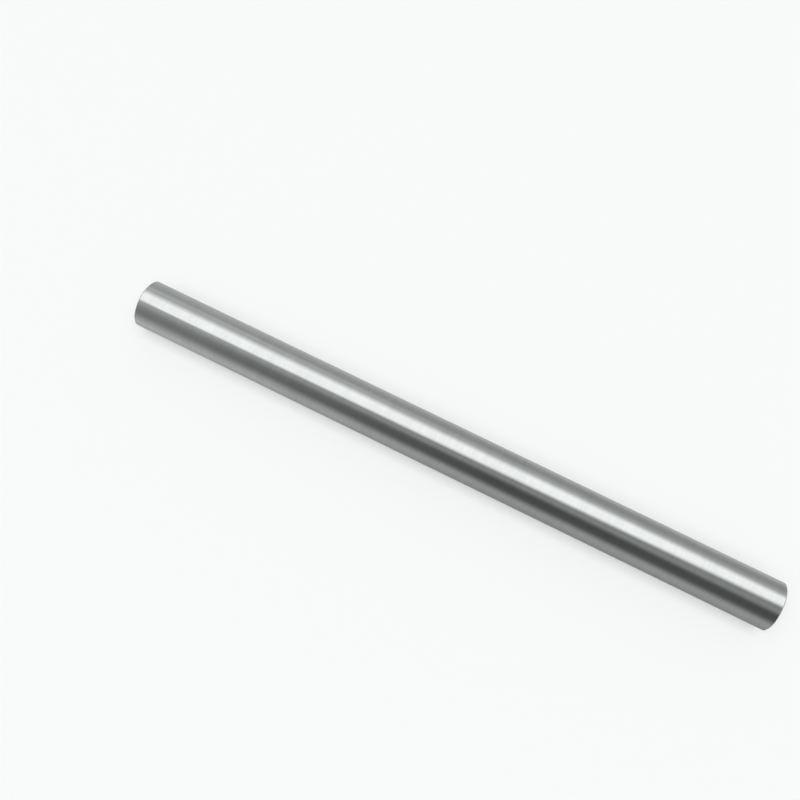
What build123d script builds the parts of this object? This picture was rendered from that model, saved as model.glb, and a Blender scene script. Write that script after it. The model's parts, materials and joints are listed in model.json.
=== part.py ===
from build123d import *
import os
from math import radians, tan

# Round metal bar: a cut length of centreless-ground round stock, in one solid piece. The ground
# diameter runs the whole length, both ends are faced square to the axis, and each end has a small
# turned chamfer, so that its edge neither cuts a hand nor scores a bore.
#
# Frame: +X along the bar's axis, +Y across it, +Z up. The origin is on the axis, midway between the
# two end faces, and the bar lies on a surface one radius below it. Lengths are in millimetres.

# Driving dimensions
bar_diameter = 24.0     # ground outside diameter
bar_length = 330.0      # from end face to end face
chamfer_length = 0.5    # how far each chamfer runs back along the bar
chamfer_angle = 45.0    # between a chamfer and the bar's axis, in degrees

# Worked out from the driving dimensions
bar_radius = bar_diameter / 2
chamfer_depth = chamfer_length * tan(radians(chamfer_angle))  # how far a chamfer cuts in from the diameter
face_radius = bar_radius - chamfer_depth                      # of the flat that is left on each end
half_length = bar_length / 2
ground_half_length = half_length - chamfer_length             # from the middle to where a chamfer starts


def turned_outline():
    """The outline that turning and grinding leave, from the axis out to the diameter and back."""
    return Polyline(
        (-half_length, 0),
        (-half_length, face_radius),
        (-ground_half_length, bar_radius),
        (ground_half_length, bar_radius),
        (half_length, face_radius),
        (half_length, 0),
        close=True,
    )


def round_bar():
    """The outline, stood in the plane of X and Z, makes one full turn about the bar's axis."""
    half_section = make_face(Plane.XZ * turned_outline())
    return revolve(half_section, axis=Axis.X)


os.makedirs("parts", exist_ok=True)
export_step(round_bar(), "parts/round_bar.step")
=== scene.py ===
# %% [markdown]
# # A ground round bar, lying on a pale floor
#
# This lesson takes a plain metal bar from an exact shape to a finished picture. The shape comes from
# a imported model that holds the bar's real size, so every place below is measured from that model.
# Lengths are in metres. +X runs along the bar's axis, and the origin is on it, midway between the ends.
#
# The imported bar stays in the scene, hidden, once the finished bar is built.

# %% Load the imported bar
import json
from math import atan, cos, radians, sin, tan

import bpy
import numpy as np
from mathutils import Matrix, Vector

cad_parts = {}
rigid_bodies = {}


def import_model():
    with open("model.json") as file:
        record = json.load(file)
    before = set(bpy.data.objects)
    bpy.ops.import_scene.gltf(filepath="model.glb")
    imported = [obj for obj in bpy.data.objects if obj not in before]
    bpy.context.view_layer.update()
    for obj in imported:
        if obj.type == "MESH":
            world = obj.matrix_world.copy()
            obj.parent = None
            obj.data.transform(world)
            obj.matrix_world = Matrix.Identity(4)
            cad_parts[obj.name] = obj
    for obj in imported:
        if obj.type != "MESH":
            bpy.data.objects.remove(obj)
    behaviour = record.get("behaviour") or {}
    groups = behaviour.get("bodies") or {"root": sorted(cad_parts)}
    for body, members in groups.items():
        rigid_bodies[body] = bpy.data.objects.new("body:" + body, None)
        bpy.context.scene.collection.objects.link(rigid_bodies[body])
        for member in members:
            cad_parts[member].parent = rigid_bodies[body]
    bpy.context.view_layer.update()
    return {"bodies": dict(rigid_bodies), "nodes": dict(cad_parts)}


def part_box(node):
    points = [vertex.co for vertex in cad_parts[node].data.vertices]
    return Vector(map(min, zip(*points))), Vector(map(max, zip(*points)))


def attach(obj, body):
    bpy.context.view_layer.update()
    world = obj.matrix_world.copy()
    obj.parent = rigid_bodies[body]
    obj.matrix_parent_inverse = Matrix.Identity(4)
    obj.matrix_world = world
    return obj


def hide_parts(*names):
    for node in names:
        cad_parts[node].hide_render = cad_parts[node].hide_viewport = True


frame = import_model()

MM = 0.001

# %% [markdown]
# ## The bar's own measures
#
# Three numbers make a bar: its radius, its length and the size of its chamfers. They could be typed
# in, but then they would be wrong as soon as the model changed. So they are read from its mesh.
# The points furthest along X lie on the end face, and the widest of them is where the chamfer starts.
#
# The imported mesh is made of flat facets, and its box touches some sides at a corner and others at a
# flat. The largest true circle that stays in the box reaches only as far as the nearest of its sides.

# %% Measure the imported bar
low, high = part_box("round_bar")
packed_mesh = frame["nodes"]["round_bar"].data
corners = np.empty(3 * len(packed_mesh.vertices))
packed_mesh.vertices.foreach_get("co", corners)
corners = corners.reshape(-1, 3)
from_axis = np.hypot(corners[:, 1], corners[:, 2])

NEARLY = 0.01 * MM
widest = from_axis.max()
half_length = high.x
bar_radius = min(-low.y, high.y, -low.z, high.z)
chamfer_depth = widest - from_axis[corners[:, 0] > high.x - NEARLY].max()
chamfer_length = high.x - corners[from_axis > widest - NEARLY, 0].max()
floor_height = -bar_radius
print(f"radius {bar_radius / MM:.3f} mm, length {2 * half_length / MM:.1f} mm")
print(f"chamfer {chamfer_length / MM:.2f} mm long and {chamfer_depth / MM:.2f} mm deep")

# %% [markdown]
# ## The outline that was turned
#
# A bar is made by turning it, so its shape is one outline carried once round the axis. The outline
# runs out across the end face, over the chamfer and along the ground diameter. No real edge is
# perfectly sharp: a file or a stone takes the last burr off, and what is left is a tiny round that
# catches a thin line of light. Each corner of the outline gets such a round.
#
# Only one end is worked out. It is measured from the end face inwards, so both ends can use it.

# %% Work out the outline of one end
EDGE_ROUND = 0.06 * MM
ROUND_STEPS = 6
FACE_STEPS = 110
chamfer_angle = atan(chamfer_depth / chamfer_length)


def outward(angle):
    """Unit normals of the outline, as (inwards, out): (-sin angle, cos angle).

    An angle of 0 points away from the axis, and a right angle points off the end.
    """
    return np.stack([-np.sin(angle), np.cos(angle)], axis=-1)


def rounded_corner(corner, first_angle, last_angle):
    """An arc that touches both lines of a corner.

    Its centre is the corner less the radius times (n1 + n2) / (1 + n1 . n2), where n1 and n2 are the
    lines' normals. Each point is the centre plus the radius times a normal that turns from n1 to n2.
    """
    n1, n2 = outward(first_angle), outward(last_angle)
    centre = np.array(corner) - EDGE_ROUND * (n1 + n2) / (1 + n1 @ n2)
    return centre + EDGE_ROUND * outward(np.linspace(first_angle, last_angle, ROUND_STEPS))


face_edge = rounded_corner((0, bar_radius - chamfer_depth), radians(90), chamfer_angle)
ground_edge = rounded_corner((chamfer_length, bar_radius), chamfer_angle, 0)
face_out = np.linspace(0, face_edge[0, 1], FACE_STEPS + 2)[1:-1]
face_line = np.stack([np.zeros(FACE_STEPS), face_out], axis=1)
end_outline = np.concatenate([face_line, face_edge, ground_edge])
print(f"{len(end_outline)} points from the middle of an end face to the ground diameter")

# %% [markdown]
# ## Turning the outline
#
# Every point of the surface is a function of two numbers: how far along the outline it is, and the
# angle it has been turned through. Both are whole arrays, so the surface is one grid of points with
# no loop over them. The ground diameter gets rings of its own along the bar.
#
# A facing tool moves outwards a little on each turn of the bar, so it cuts one long spiral groove.
# The groove is only microns deep, but it is what makes a faced end shimmer in rings. It is real
# relief here. It fades out at the very middle, where the tool stops cutting, and at the edge.

# %% Turn the outline round the axis
TURN_STEPS = 240
BODY_RINGS = 60
GROOVE_PITCH = 0.42 * MM
GROOVE_DEPTH = 0.003 * MM
ON_THE_FACE = 0.0001 * MM


def whole_outline(end, rings):
    """Points (x, out) from left to right: one end, the ground diameter, and the end mirrored."""
    first_ring = end[-1, 0]
    body_x = np.linspace(first_ring - half_length, half_length - first_ring, rings + 2)[1:-1]
    body = np.stack([body_x, np.full(rings, bar_radius)], axis=1)
    left = np.stack([end[:, 0] - half_length, end[:, 1]], axis=1)
    right = left[::-1] * (-1, 1)
    return np.concatenate([left, body, right])


def facing_groove(out, angle):
    """The spiral's depth: depth (1 - cos(2 pi out / pitch - angle)) / 2, faded at both its edges."""
    face_radius = face_line[-1, 1]
    fade = np.clip(out / (2 * GROOVE_PITCH), 0, 1) * np.clip((face_radius - out) / GROOVE_PITCH, 0, 1)
    return GROOVE_DEPTH * fade * (1 - np.cos(2 * np.pi * out / GROOVE_PITCH - angle)) / 2


def turned_surface(outline, steps):
    """A grid of points: (x, out cos t, out sin t), with the groove sunk into each end face."""
    angle = np.linspace(0, 2 * np.pi, steps, endpoint=False)
    x, out = outline[:, :1], outline[:, 1:]
    sunk = np.where(np.abs(x) > half_length - ON_THE_FACE, facing_groove(out, angle), 0)
    return np.stack([x - np.sign(x) * sunk, out * np.cos(angle), out * np.sin(angle)], axis=-1)


outline = whole_outline(end_outline, BODY_RINGS)
surface = turned_surface(outline, TURN_STEPS)
print("surface grid:", surface.shape[:2])
print(f"lowest point {surface[..., 2].min() / MM:.3f} mm, floor {floor_height / MM:.3f} mm")

# %% [markdown]
# ## From a grid of points to a mesh
#
# Four neighbours in the grid make one face. The last column joins the first, which closes the seam,
# and one point in the middle of each end closes the pole with a fan of triangles. The corners of each
# face go round the same way, so that every face points outwards.
#
# A mirror-like metal shows every error in its normals. They are worked out from the surface itself,
# as the cross product of the way round and the way along, and stored on the mesh.
#
# The UV map holds how far along the outline a point is, and the angle. Its first direction crosses the
# machining marks everywhere, on the diameter and on the faces, and the steel uses it for that.

# %% Build the mesh
GROUND, TURNED, FACED = 0, 1, 2


def grid_faces(rings, steps):
    """Quads between neighbouring rings, closed round the seam, as rows of four point numbers."""
    ring, step = np.meshgrid(np.arange(rings - 1), np.arange(steps), indexing="ij")
    here, after = ring * steps + step, ring * steps + (step + 1) % steps
    return np.stack([here, after, after + steps, here + steps], axis=-1).reshape(-1, 4)


def pole_faces(rings, steps, left_pole, right_pole):
    """The fans that close the two ends, as rows of three point numbers."""
    step = np.arange(steps)
    after = (step + 1) % steps
    last = (rings - 1) * steps
    left = np.stack([np.full(steps, left_pole), after, step], axis=1)
    right = np.stack([np.full(steps, right_pole), last + step, last + after], axis=1)
    return left, right


def surface_normals(points):
    """The way round crossed with the way along, made one unit long."""
    along = np.gradient(points, axis=0)
    around = np.roll(points, -1, axis=1) - np.roll(points, 1, axis=1)
    normal = np.cross(along, around)
    outwards = np.sign((normal[..., 1:] * points[..., 1:]).sum(-1).mean())
    return outwards * normal / np.linalg.norm(normal, axis=-1, keepdims=True)


def finish_of_rings(ring_count):
    """Which finish each strip between two rings has: faced, turned or ground."""
    end_rings, face_rings = len(end_outline), len(face_line)
    strip = np.arange(ring_count - 1)
    from_end = np.minimum(strip, ring_count - 2 - strip)
    return np.select([from_end < face_rings, from_end < end_rings - 1], [FACED, TURNED], GROUND)


def along_and_around(corner_point, first_step, rings, steps):
    """U = the way along the outline / all of it. V = the angle / a whole turn.

    corner_point and first_step hold, for each corner, its point and the step that its face starts at.
    A face that closes the seam ends at step 0, where V is a whole turn more. At a pole, V is mid-face.
    """
    travelled = np.linalg.norm(np.diff(outline, axis=0, prepend=outline[:1] * (1, 0)), axis=1).cumsum()
    whole = travelled[-1] + outline[-1, 1]
    u = np.append(np.repeat(travelled / whole, steps), [0, 1])[corner_point]
    v = np.append(np.tile(np.arange(steps) / steps, rings), [0, 0])[corner_point]
    first_v = first_step / steps
    v[v < first_v] += 1
    at_pole = corner_point >= rings * steps
    v[at_pole] = first_v[at_pole] + 0.5 / steps
    return np.stack([u, v], axis=1)


def bar_mesh(points):
    """The closed mesh of the bar, with its finishes, its UV map and its normals."""
    rings, steps = points.shape[:2]
    left_pole, right_pole = rings * steps, rings * steps + 1
    everything = np.concatenate([points.reshape(-1, 3), [(-half_length, 0, 0), (half_length, 0, 0)]])
    quads = grid_faces(rings, steps)
    left, right = pole_faces(rings, steps, left_pole, right_pole)

    mesh = bpy.data.meshes.new("ground_bar")
    mesh.from_pydata(everything, [], quads.tolist() + left.tolist() + right.tolist())

    finish = np.concatenate([np.repeat(finish_of_rings(rings), steps), np.full(2 * steps, FACED)])
    mesh.polygons.foreach_set("material_index", finish.astype(np.int32))
    mesh.polygons.foreach_set("use_smooth", np.ones(len(mesh.polygons), bool))

    corner_point = np.concatenate([quads.ravel(), left.ravel(), right.ravel()])
    # Every strip between two rings, and each of the two fans, has one face for each step.
    corner_count = [4] * len(quads) + [3] * (len(left) + len(right))
    first_step = np.repeat(np.tile(np.arange(steps), rings + 1), corner_count)
    uv = along_and_around(corner_point, first_step, rings, steps)
    mesh.uv_layers.new(name="along_and_around").uv.foreach_set("vector", uv.ravel())

    mesh.validate()
    pole_normals = [(-1, 0, 0), (1, 0, 0)]
    normals = np.concatenate([surface_normals(points).reshape(-1, 3), pole_normals])
    mesh.normals_split_custom_set_from_vertices(normals)
    return mesh


bar = bpy.data.objects.new("ground_bar", bar_mesh(surface))
bpy.context.scene.collection.objects.link(bar)
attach(bar, next(iter(frame["bodies"])))
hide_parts("round_bar")
bar.data.calc_loop_triangles()
print("triangles:", len(bar.data.loop_triangles))

# %% [markdown]
# ## A short way to wire shader nodes
#
# A finish is a chain of nodes. Each line of the recipe below makes one node, sets its options and
# fills its inputs, either with a value or with another node's output.

# %% Define the node helpers
NUMBER, VECTOR = "NodeSocketFloat", "NodeSocketVector"
MIX_SHARE, MIX_FIRST, MIX_SECOND, MIX_RESULT = 0, 6, 7, 2    # where the Mix node keeps its colour sockets


def add(tree, kind, inputs=None, **options):
    """Makes one node. An input that is a socket is linked, and any other is set as a value."""
    node = tree.nodes.new(kind)
    for name, value in options.items():
        setattr(node, name, value)
    for name, value in (inputs or {}).items():
        if isinstance(value, bpy.types.NodeSocket):
            tree.links.new(value, node.inputs[name])
        else:
            node.inputs[name].default_value = value
    return node


def new_group(name, inputs, outputs):
    """An empty node group with named inputs and outputs: its tree, what comes in and what goes out."""
    tree = bpy.data.node_groups.new(name, "ShaderNodeTree")
    for socket, (kind, value) in inputs.items():
        made = tree.interface.new_socket(socket, in_out="INPUT", socket_type=kind)
        if value is not None:
            made.default_value = value
    for socket in outputs:
        tree.interface.new_socket(socket, in_out="OUTPUT", socket_type="NodeSocketFloat")
    return tree, tree.nodes.new("NodeGroupInput").outputs, tree.nodes.new("NodeGroupOutput")


def maths(tree, operation, *values):
    """One step of arithmetic, as a socket."""
    return add(tree, "ShaderNodeMath", dict(enumerate(values)), operation=operation).outputs[0]


def blended(tree, share, first, second):
    """First, going over into second as the share goes from 0 to 1. Each is a colour or a socket of one."""
    inputs = {MIX_SHARE: share, MIX_FIRST: first, MIX_SECOND: second}
    return add(tree, "ShaderNodeMix", inputs, data_type="RGBA").outputs[MIX_RESULT]


print("kinds of group input:", NUMBER, VECTOR)

# %% [markdown]
# ## Machining marks
#
# A wheel or a tool leaves fine lines across its feed. On the ground diameter they run round the bar,
# and on a faced end they are rings. Both are the same pattern: it changes fast along the feed, and
# slowly over the rest of the surface, where each line fades in and out. So one node group makes both.
# It takes how far along the feed a point is, and noise that is squeezed in that direction does the rest.
# A machine also breathes a little, so broad soft bands lie among the fine lines.

# %% Make the machining marks
BAND_PITCHES = 8
NOISE_ROUGHNESS = 0.6
NOISE_LOW, NOISE_HIGH = 0.3, 0.7


def stretched_noise(tree, x, y, z, detail):
    """Noise of the point (x, y, z), spread so that it uses the whole range from 0 to 1."""
    point = add(tree, "ShaderNodeCombineXYZ", {"X": x, "Y": y, "Z": z}).outputs[0]
    noise = add(tree, "ShaderNodeTexNoise", {
        "Vector": point, "Scale": 1.0, "Detail": detail, "Roughness": NOISE_ROUGHNESS,
    }).outputs[0]
    return add(tree, "ShaderNodeMapRange", {
        "Value": noise, "From Min": NOISE_LOW, "From Max": NOISE_HIGH,
    }).outputs[0]


def machining_marks():
    """Lines = noise of (feed / pitch, y / fade, z / fade), and Bands is the same with a broader pitch."""
    tree, given, out = new_group("machining_marks", {
        "Feed": (NUMBER, 0.0), "Position": (VECTOR, None), "Pitch": (NUMBER, 1 * MM),
        "Fade": (NUMBER, 20 * MM),
    }, ["Lines", "Bands"])
    place = add(tree, "ShaderNodeSeparateXYZ", {"Vector": given["Position"]}).outputs
    feed = maths(tree, "DIVIDE", given["Feed"], given["Pitch"])
    y, z = (maths(tree, "DIVIDE", place[axis], given["Fade"]) for axis in "YZ")
    broad_feed = maths(tree, "DIVIDE", feed, BAND_PITCHES)
    tree.links.new(stretched_noise(tree, feed, y, z, detail=2.0), out.inputs["Lines"])
    tree.links.new(stretched_noise(tree, broad_feed, y, z, detail=3.0), out.inputs["Bands"])
    return tree


marks_group = machining_marks()
print("group:", marks_group.name)

# %% [markdown]
# ## The film that handling leaves
#
# Stock is oiled, wiped and carried, so it is never evenly bright. A thin film lies in soft patches
# some centimetres long, where it makes the metal a little rougher and a little darker.

# %% Make the handling film
FILM_STRETCH = 3.0


def handling_film():
    """Film = soft noise, stretched along the bar as a wiping cloth leaves it, from 0 to 1."""
    inputs = {"Position": (VECTOR, None), "Size": (NUMBER, 20 * MM)}
    tree, given, out = new_group("handling_film", inputs, ["Film"])
    place = add(tree, "ShaderNodeSeparateXYZ", {"Vector": given["Position"]}).outputs
    x = maths(tree, "DIVIDE", place["X"], maths(tree, "MULTIPLY", given["Size"], FILM_STRETCH))
    y, z = (maths(tree, "DIVIDE", place[axis], given["Size"]) for axis in "YZ")
    tree.links.new(stretched_noise(tree, x, y, z, detail=4.0), out.inputs["Film"])
    return tree


film_group = handling_film()
print("group:", film_group.name)

# %% [markdown]
# ## Rubbing and scratches
#
# Bars slide over each other in the rack. That leaves hair-thin scratches along them, and it rubs the
# edges at both ends, where the metal gets a little brighter and rougher. Scratches are noise drawn out
# along the bar, of which only the highest crests are kept. The rub is strongest at the end and is gone
# a few millimetres in, and it is broken up, because an edge never wears evenly.

# %% Make the wear
SCRATCH_START, SCRATCH_FULL = 0.80, 0.95


def storage_wear():
    """Scratches = the crests of noise of (x / length, y / width, z / width).

    Rub = nearness^2 times noise, where nearness falls from 1 at the end to 0 at the rub's reach.
    """
    tree, given, out = new_group("storage_wear", {
        "Position": (VECTOR, None), "Length": (NUMBER, 20 * MM), "Width": (NUMBER, 0.3 * MM),
        "Reach": (NUMBER, 4 * MM),
    }, ["Scratches", "Rub"])
    place = add(tree, "ShaderNodeSeparateXYZ", {"Vector": given["Position"]}).outputs
    x = maths(tree, "DIVIDE", place["X"], given["Length"])
    y, z = (maths(tree, "DIVIDE", place[axis], given["Width"]) for axis in "YZ")
    streaks = stretched_noise(tree, x, y, z, detail=0.0)
    crests = add(tree, "ShaderNodeMapRange", {
        "Value": streaks, "From Min": SCRATCH_START, "From Max": SCRATCH_FULL,
    }).outputs[0]
    tree.links.new(crests, out.inputs["Scratches"])

    from_end = maths(tree, "SUBTRACT", half_length, maths(tree, "ABSOLUTE", place["X"]))
    nearness = add(tree, "ShaderNodeMapRange", {
        "Value": from_end, "From Min": 0.0, "From Max": given["Reach"], "To Min": 1.0, "To Max": 0.0,
    }).outputs[0]
    x, y, z = (maths(tree, "DIVIDE", place[axis], given["Reach"]) for axis in "XYZ")
    uneven = stretched_noise(tree, x, y, z, detail=3.0)
    rub = maths(tree, "MULTIPLY", maths(tree, "POWER", nearness, 2.0), uneven)
    tree.links.new(rub, out.inputs["Rub"])
    return tree


wear_group = storage_wear()
print("group:", wear_group.name)

# %% [markdown]
# ## Three finishes of one steel
#
# The bar is one piece of steel, so its colour and its way of reflecting are the same all over. What
# differs is how each surface was cut. The ground diameter is the smoothest. The chamfers are turned,
# and a little rougher. The end faces are faced with a single tool, and their rings show most.
#
# Fine lines scatter light across themselves and hardly along themselves, which is called anisotropy.
# The tangent points across the lines, so a reflection is drawn out along the bar and stays crisp
# round it. Steel also reflects a little less than a perfect metal where it is seen at a grazing angle,
# and the specular tint sets that.

# %% Make the steel
STEEL = (0.38, 0.391, 0.387)
GRAZING_TINT = (0.8, 0.8, 0.8, 1)
FILM_SIZE = 12 * MM
FILM_DARKENS, FILM_ROUGHENS = 0.04, 0.03
SCRATCH_LENGTH, SCRATCH_WIDTH = 25 * MM, 0.3 * MM
SCRATCH_DEPTH, SCRATCH_ROUGHENS = 0.5, 0.08
RUB_REACH = 3 * MM
RUB_BRIGHTENS, RUB_ROUGHENS = 0.08, 0.03


def steel(name, pitch, fade, rough, line_rough, line_height, tone_change, anisotropy, rings):
    """Steel with one machined finish, whose marks are lines round the bar or, on a face, rings.

    Tone = 1 + change (lines + bands - 1) - what the film darkens + what the rub brightens.
    Roughness = rough + line_rough (lines - 1/2) + what film, scratches and rub each add.
    Relief = line_height (lines - scratch depth times scratches).
    """
    material = bpy.data.materials.new(name)
    material.use_nodes = True
    tree = material.node_tree
    shader = tree.nodes["Principled BSDF"]
    position = add(tree, "ShaderNodeTexCoord").outputs["Object"]
    place = add(tree, "ShaderNodeSeparateXYZ", {"Vector": position}).outputs
    out = maths(tree, "SQRT", maths(tree, "ADD", *(maths(tree, "POWER", place[axis], 2.0) for axis in "YZ")))

    marks = add(tree, "ShaderNodeGroup", {
        "Feed": out if rings else place["X"], "Position": position, "Pitch": pitch, "Fade": fade,
    }, node_tree=marks_group).outputs
    film = add(tree, "ShaderNodeGroup", {
        "Position": position, "Size": FILM_SIZE,
    }, node_tree=film_group).outputs
    wear = add(tree, "ShaderNodeGroup", {
        "Position": position, "Length": SCRATCH_LENGTH, "Width": SCRATCH_WIDTH, "Reach": RUB_REACH,
    }, node_tree=wear_group).outputs

    both = maths(tree, "ADD", marks["Lines"], marks["Bands"])
    tone = maths(tree, "MULTIPLY_ADD", both, tone_change, 1 - tone_change)
    tone = maths(tree, "MULTIPLY_ADD", film["Film"], -FILM_DARKENS, tone)
    tone = maths(tree, "MULTIPLY_ADD", wear["Rub"], RUB_BRIGHTENS, tone)
    colour = add(tree, "ShaderNodeVectorMath", {"Vector": STEEL, "Scale": tone}, operation="SCALE")
    tree.links.new(colour.outputs[0], shader.inputs["Base Color"])

    roughness = maths(tree, "MULTIPLY_ADD", marks["Lines"], line_rough, rough - line_rough / 2)
    roughness = maths(tree, "MULTIPLY_ADD", film["Film"], FILM_ROUGHENS, roughness)
    roughness = maths(tree, "MULTIPLY_ADD", wear["Scratches"], SCRATCH_ROUGHENS, roughness)
    roughness = maths(tree, "MULTIPLY_ADD", wear["Rub"], RUB_ROUGHENS, roughness)
    tree.links.new(roughness, shader.inputs["Roughness"])

    relief = maths(tree, "MULTIPLY_ADD", wear["Scratches"], -SCRATCH_DEPTH, marks["Lines"])
    bump = add(tree, "ShaderNodeBump", {"Height": relief, "Strength": 1.0, "Distance": line_height})
    tree.links.new(bump.outputs[0], shader.inputs["Normal"])
    tangent = add(tree, "ShaderNodeTangent", direction_type="UV_MAP", uv_map="along_and_around")
    tree.links.new(tangent.outputs[0], shader.inputs["Tangent"])

    shader.inputs["Metallic"].default_value = 1
    shader.inputs["Specular Tint"].default_value = GRAZING_TINT
    shader.inputs["Anisotropic"].default_value = anisotropy
    return material


bar.data.materials.append(steel(
    "ground_steel", pitch=0.6 * MM, fade=20 * MM, rough=0.125, line_rough=0.04,
    line_height=0.001 * MM, tone_change=0.06, anisotropy=0.4, rings=False))
bar.data.materials.append(steel(
    "turned_steel", pitch=0.15 * MM, fade=8 * MM, rough=0.26, line_rough=0.08,
    line_height=0.002 * MM, tone_change=0.06, anisotropy=0.3, rings=False))
bar.data.materials.append(steel(
    "faced_steel", pitch=0.5 * MM, fade=10 * MM, rough=0.24, line_rough=0.10,
    line_height=0.003 * MM, tone_change=0.13, anisotropy=0.5, rings=True))
print("finishes:", [m.name for m in bar.data.materials])

# %% [markdown]
# ## A pale floor
#
# The floor reaches far beyond the bar. Seen from low down, its far edge is a very faint line, because
# the backdrop behind it has the floor's own colour. It has no gloss, so that it stays an even ground
# for the metal. Part of what the camera sees of it is its plain colour, the same in shade and light.
# That keeps the bar's shadow, but makes it pale.

# %% Lay the floor
FLOOR_COLOUR = (0.94, 0.957, 0.948, 1)
FLOOR_REACH = 2.5
SHADOW_LIFT = 0.4


def flat_card(name, left, right, near, far, material, far_right=None):
    """A flat card in the plane z = 0. Its far edge slopes where far_right is given."""
    mesh = bpy.data.meshes.new(name)
    if far_right is None:
        far_right = far
    corners = [(left, near, 0), (right, near, 0), (right, far_right, 0), (left, far, 0)]
    mesh.from_pydata(corners, [], [(0, 1, 2, 3)])
    mesh.materials.append(material)
    card = bpy.data.objects.new(name, mesh)
    bpy.context.scene.collection.objects.link(card)
    return card


def seen_rays(tree):
    """1 where the camera looks, straight or by way of metal or glass, and 0 for light on its way to them."""
    ray = add(tree, "ShaderNodeLightPath").outputs
    seen = maths(tree, "MAXIMUM", ray["Is Camera Ray"], ray["Is Glossy Ray"])
    return maths(tree, "MAXIMUM", seen, ray["Is Transmission Ray"])


floor_paint = bpy.data.materials.new("floor_paint")
floor_paint.use_nodes = True
tree = floor_paint.node_tree
floor_shader = tree.nodes["Principled BSDF"]
floor_shader.inputs["Base Color"].default_value = FLOOR_COLOUR
floor_shader.inputs["Roughness"].default_value = 1
floor_shader.inputs["Specular IOR Level"].default_value = 0
plain = add(tree, "ShaderNodeEmission", {"Color": FLOOR_COLOUR})
share = maths(tree, "MULTIPLY", seen_rays(tree), SHADOW_LIFT)
# The Mix Shader's two shader sockets have the same name, so its sockets are given by number.
lift = add(tree, "ShaderNodeMixShader", {0: share, 1: floor_shader.outputs[0], 2: plain.outputs[0]})
tree.links.new(lift.outputs[0], tree.nodes["Material Output"].inputs["Surface"])
floor = flat_card("floor", -FLOOR_REACH, FLOOR_REACH, -FLOOR_REACH, FLOOR_REACH, floor_paint)
floor.location.z = floor_height
print(f"floor {2 * FLOOR_REACH} m wide, {floor_height / MM:.1f} mm below the bar's axis")

# %% [markdown]
# ## The camera
#
# The camera looks down at the bar from in front and a little to the right, and it is turned slightly
# about its own view. It could be dragged into place by hand. Here its place is worked out from the point
# that it aims at, two angles and a distance, so that each of them can be changed alone.

# %% Place the camera
VIEW_AZIMUTH = radians(16.87)
VIEW_ELEVATION = radians(68)
VIEW_ROLL = radians(10.0)
VIEW_DISTANCE = 436.1 * MM
AIM = Vector((-31.16 * MM, 11.76 * MM, 0))
LENS = 40.5

flat = cos(VIEW_ELEVATION)
back = Vector((sin(VIEW_AZIMUTH) * flat, -cos(VIEW_AZIMUTH) * flat, sin(VIEW_ELEVATION)))
level = Vector((cos(VIEW_AZIMUTH), sin(VIEW_AZIMUTH), 0))
upright = back.cross(level)
right = level * cos(VIEW_ROLL) + upright * sin(VIEW_ROLL)
up = back.cross(right)
camera = bpy.data.objects.new("camera", bpy.data.cameras.new("camera"))
camera.data.lens = LENS
turned = Matrix((right, up, back)).transposed().to_4x4()
camera.matrix_world = Matrix.Translation(AIM + back * VIEW_DISTANCE) @ turned
bpy.context.scene.collection.objects.link(camera)
bpy.context.scene.camera = camera
print("camera at", [f"{c / MM:.1f} mm" for c in camera.location])

# %% [markdown]
# ## The lamp
#
# One wide soft lamp lights the floor. It hangs over the camera's side, so most of the bar's shadow falls
# where the bar itself hides it, and only a soft edge of it shows. It is large and far away, because then
# the floor is about equally bright everywhere. Reflections don't show it: what the metal sees is set up
# on its own below, so the two can be tuned apart.

# %% Hang the lamp
OVERHEAD = 20.0
LAMP_SIDE, LAMP_NEAR, LAMP_FAR = 12.0, -16.0, 4.0
LAMP_GLOW = 2.85


def glow(name, strength_of, tint=(1, 1, 1, 1)):
    """A material that shines with the strength that strength_of works out from the card's own position."""
    material = bpy.data.materials.new(name)
    material.use_nodes = True
    tree = material.node_tree
    tree.nodes.clear()
    position = add(tree, "ShaderNodeTexCoord").outputs["Object"]
    place = add(tree, "ShaderNodeSeparateXYZ", {"Vector": position}).outputs
    shine = add(tree, "ShaderNodeEmission", {"Color": tint, "Strength": strength_of(tree, place)})
    add(tree, "ShaderNodeOutputMaterial", {"Surface": shine.outputs[0]})
    return material


lamp = flat_card("lamp", -LAMP_SIDE, LAMP_SIDE, LAMP_NEAR, LAMP_FAR,
                 glow("lamp_cloth", lambda tree, place: LAMP_GLOW))
lamp.matrix_world = Matrix.Translation((0, 0, OVERHEAD))
lamp.visible_camera = False
lamp.visible_glossy = False
print(f"lamp {2 * LAMP_SIDE:.0f} m by {LAMP_FAR - LAMP_NEAR:.0f} m, {OVERHEAD:.0f} m up")

# %% [markdown]
# ## The softbox
#
# Polished metal has hardly any look of its own: it shows the room. A wide softbox overhead makes the
# bright band. It is fully bright at its near side and fades slowly towards the back, so the band ends
# crisply in front and softly behind. It is turned a little against the bar, so the band runs slightly
# askew, and it fades a little askew to its own near side, so the band is broader at the left. A grey rim
# in front of it keeps the room's brightness away from the band's crisp side.

# %% Hang the softbox
SOFTBOX_LEFT, SOFTBOX_RIGHT = -13.0, 19.0
SOFTBOX_RIM, SOFTBOX_EDGE = -10.5, -7.5    # the rim's near edge, and where its even grey ends
SOFTBOX_NEAR, SOFTBOX_FULL = -1.2, 8.5     # between these two the cloth is fully bright
SOFTBOX_FAR = 22.9                         # where the fading cloth ends
SOFTBOX_TURN = radians(27)
SOFTBOX_SKEW = 0.105
SOFTBOX_FALL = 1.65
SOFTBOX_GLOW, SOFTBOX_FAR_GLOW = 2.30, 0.85
SOFTBOX_RIM_GLOW = 0.50


def only_in_reflections(card):
    """Metal shows the card. The camera doesn't see it, and it neither lights nor shades the floor."""
    card.visible_camera = False
    card.visible_diffuse = False
    card.visible_shadow = False


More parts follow.
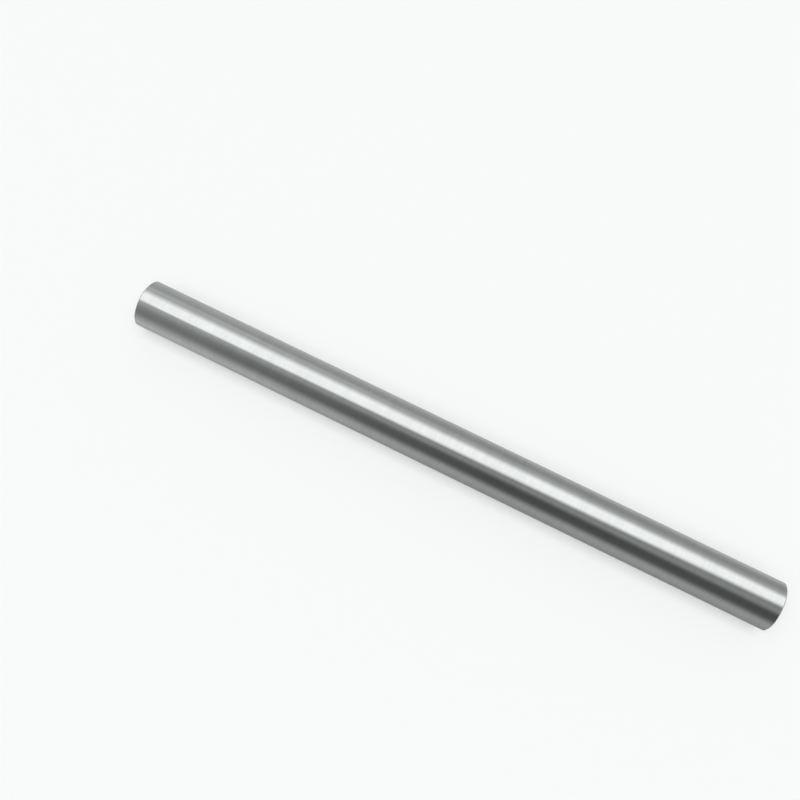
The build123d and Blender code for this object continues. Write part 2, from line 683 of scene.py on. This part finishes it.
def softbox_strength(tree, place):
    """far + (near - far) (1 - u)^fall, where u runs from 0 at the end of the full part to 1 at the far edge.

    Between the near side and the rim's edge it falls smoothly to the rim's own strength.
    """
    back = maths(tree, "MULTIPLY_ADD", place["X"], SOFTBOX_SKEW, place["Y"])
    remaining = add(tree, "ShaderNodeMapRange", {
        "Value": back, "From Min": SOFTBOX_FULL, "From Max": SOFTBOX_FAR, "To Min": 1.0, "To Max": 0.0,
    }).outputs[0]
    faded = maths(tree, "POWER", remaining, SOFTBOX_FALL)
    far_over_rim = SOFTBOX_FAR_GLOW - SOFTBOX_RIM_GLOW
    over_rim = maths(tree, "MULTIPLY_ADD", faded, SOFTBOX_GLOW - SOFTBOX_FAR_GLOW, far_over_rim)
    near = add(tree, "ShaderNodeMapRange", {
        "Value": place["Y"], "From Min": SOFTBOX_EDGE, "From Max": SOFTBOX_NEAR,
    }, interpolation_type="SMOOTHSTEP").outputs[0]
    return maths(tree, "MULTIPLY_ADD", near, over_rim, SOFTBOX_RIM_GLOW)


softbox = flat_card("softbox", SOFTBOX_LEFT, SOFTBOX_RIGHT, SOFTBOX_RIM, SOFTBOX_FAR,
                    glow("softbox_cloth", softbox_strength))
softbox.matrix_world = Matrix.Translation((0, 0, OVERHEAD)) @ Matrix.Rotation(SOFTBOX_TURN, 4, "Z")
only_in_reflections(softbox)
print(f"softbox {SOFTBOX_RIGHT - SOFTBOX_LEFT:.0f} m long, {OVERHEAD:.0f} m up")

# %% [markdown]
# ## The room
#
# The room lights the floor softly from all sides. Behind the floor the camera would see it as a grey
# wall, so the camera is shown a backdrop in the floor's own colour instead. Mirror-like surfaces are
# shown the same backdrop, because a reflection has to agree with what stands around it.

# %% Paint the room
ROOM_GLOW = 0.40

world = bpy.data.worlds.new("room")
world.use_nodes = True
bpy.context.scene.world = world
tree = world.node_tree
backdrop = blended(tree, seen_rays(tree), (ROOM_GLOW, ROOM_GLOW, ROOM_GLOW, 1), FLOOR_COLOUR)
tree.links.new(backdrop, tree.nodes["Background"].inputs["Color"])
bpy.context.scene.view_settings.view_transform = "Standard"
print("room light:", ROOM_GLOW)

# %% [markdown]
# ## Two cards beside the bar
#
# Without something dark to reflect, metal looks like grey plastic. A card stands close in front of the
# bar and makes the dark band, and one behind it keeps the far side grey. Neither is even. Its tones are
# listed by the angle at which the bar sees them, once for its left side and once for its right. In
# front, the right side has a clear dark core, which fades into soft grey towards the left. The cards
# only show in reflections, so they take no light from the floor.

# %% Stand the cards beside the bar
CARD_REACH = 300 * MM
CARD_TINT = (1.0, 1.016, 1.008, 1)
FRONT_DISTANCE, FRONT_BLEND = 28 * MM, (-230 * MM, 45 * MM)
FRONT_LEFT = [(-37, 1.08), (-17, 0.91), (0, 0.76), (12, 0.64), (24, 0.53), (38, 0.44), (50, 0.49),
              (60, 0.59), (68, 0.76), (76, 0.96)]
FRONT_RIGHT = [(-37, 0.70), (-6, 0.70), (5, 0.63), (16, 0.48), (28, 0.28), (38, 0.18), (50, 0.16),
               (58, 0.165), (64, 0.28), (70, 0.53), (76, 0.53), (81, 0.48)]
BACK_DISTANCE, BACK_BLEND = 70 * MM, (-200 * MM, 50 * MM)
BACK_LEFT = [(-12, 0.90), (4, 0.86), (18, 0.77), (30, 0.70), (41, 0.91), (48, 1.05)]
BACK_RIGHT = [(-12, 0.80), (4, 0.70), (18, 0.59), (30, 0.62), (41, 0.76), (48, 0.90)]


def card_height(angle, distance):
    """Where a line from the bar's side, at this angle above level, meets a card: (distance - radius) tan."""
    return (distance - bar_radius) * tan(radians(angle))


def by_height(tones, distance):
    """The tones that are listed by angle, listed by height on a card at this distance."""
    return [(card_height(angle, distance), tone) for angle, tone in tones]


def tone_ramp(tree, share, heights, foot, top):
    """The listed tones, with straight steps between them. The share runs from 0 at the foot to 1 at the top.

    Above the last height that is listed, its tone goes on.
    """
    ramp = add(tree, "ShaderNodeValToRGB", {"Fac": share})
    elements = ramp.color_ramp.elements
    for level, tone in heights + [(top, heights[-1][1])]:
        place = (level - foot) / (top - foot)
        element = {0: elements[0], 1: elements[-1]}.get(place) or elements.new(place)
        element.color = (tone, tone, tone, 1)
    return ramp.outputs["Color"]


def tone_card(name, y, left_tones, right_tones, blend):
    """An upright card. Between the blend's ends, its left side's tones go over smoothly into its right's."""
    left, right = by_height(left_tones, abs(y)), by_height(right_tones, abs(y))
    foot = min(left[0][0], right[0][0])
    top = max(left[-1][0], right[-1][0])

    def strength(tree, place):
        share = add(tree, "ShaderNodeMapRange", {
            "Value": place["Y"], "From Min": foot, "From Max": top,
        }).outputs[0]
        rightwards = add(tree, "ShaderNodeMapRange", {
            "Value": place["X"], "From Min": blend[0], "From Max": blend[1],
        }, interpolation_type="SMOOTHSTEP").outputs[0]
        left_ramp = tone_ramp(tree, share, left, foot, top)
        return blended(tree, rightwards, left_ramp, tone_ramp(tree, share, right, foot, top))

    cloth = glow(name + "_cloth", strength, CARD_TINT)
    card = flat_card(name, -CARD_REACH, CARD_REACH, foot, left[-1][0], cloth, far_right=top)
    card.matrix_world = Matrix.Translation((0, y, 0)) @ Matrix.Rotation(radians(90), 4, "X")
    only_in_reflections(card)


tone_card("front_card", -FRONT_DISTANCE, FRONT_LEFT, FRONT_RIGHT, FRONT_BLEND)
tone_card("back_card", BACK_DISTANCE, BACK_LEFT, BACK_RIGHT, BACK_BLEND)
print(f"cards stand {FRONT_DISTANCE / MM:.0f} mm before the axis and {BACK_DISTANCE / MM:.0f} mm behind it")

# %% [markdown]
# ## A card on the floor
#
# The lowest part of the bar reflects the floor in front of it. A bright floor would draw a pale line
# along the lower edge, so a card lies there, pale at the left and grey at the right, from the front
# card's foot to just under the bar. Its glow is painted shade: it gets darker towards the bar, a painted
# shadow standing in for the floor's shadow under a real bar. It too only shows in reflections.

# %% Lay the card before the bar
FOOT_LIFT = 0.05 * MM
FOOT_END = -11 * MM
# The card's glow is painted shade; its darkest tone is the painted shadow's, just under the bar.
FOOT_LEFT, FOOT_RIGHT, FOOT_SHADOW_DARKEST = 1.15, 0.70, 0.72


def foot_strength(tree, place):
    """The left tone going over into the right one, times a painted shadow that darkens evenly towards the
    bar.
    """
    tone = add(tree, "ShaderNodeMapRange", {
        "Value": place["X"], "From Min": FRONT_BLEND[0], "From Max": FRONT_BLEND[1],
        "To Min": FOOT_LEFT, "To Max": FOOT_RIGHT,
    }, interpolation_type="SMOOTHSTEP").outputs[0]
    # Painted shadow: the glow darkens towards the bar, where the floor's shadow would lie.
    shade = add(tree, "ShaderNodeMapRange", {
        "Value": place["Y"], "From Min": -FRONT_DISTANCE, "From Max": FOOT_END,
        "To Min": 1.0, "To Max": FOOT_SHADOW_DARKEST,
    }).outputs[0]
    return maths(tree, "MULTIPLY", tone, shade)


floor_shadow_card = flat_card("floor_shadow_card", -CARD_REACH, CARD_REACH, -FRONT_DISTANCE, FOOT_END,
                      glow("foot_card_cloth", foot_strength, CARD_TINT))
floor_shadow_card.matrix_world = Matrix.Translation((0, 0, floor_height + FOOT_LIFT))
only_in_reflections(floor_shadow_card)
print(f"the card on the floor ends {-FOOT_END / MM:.0f} mm before the bar's axis")
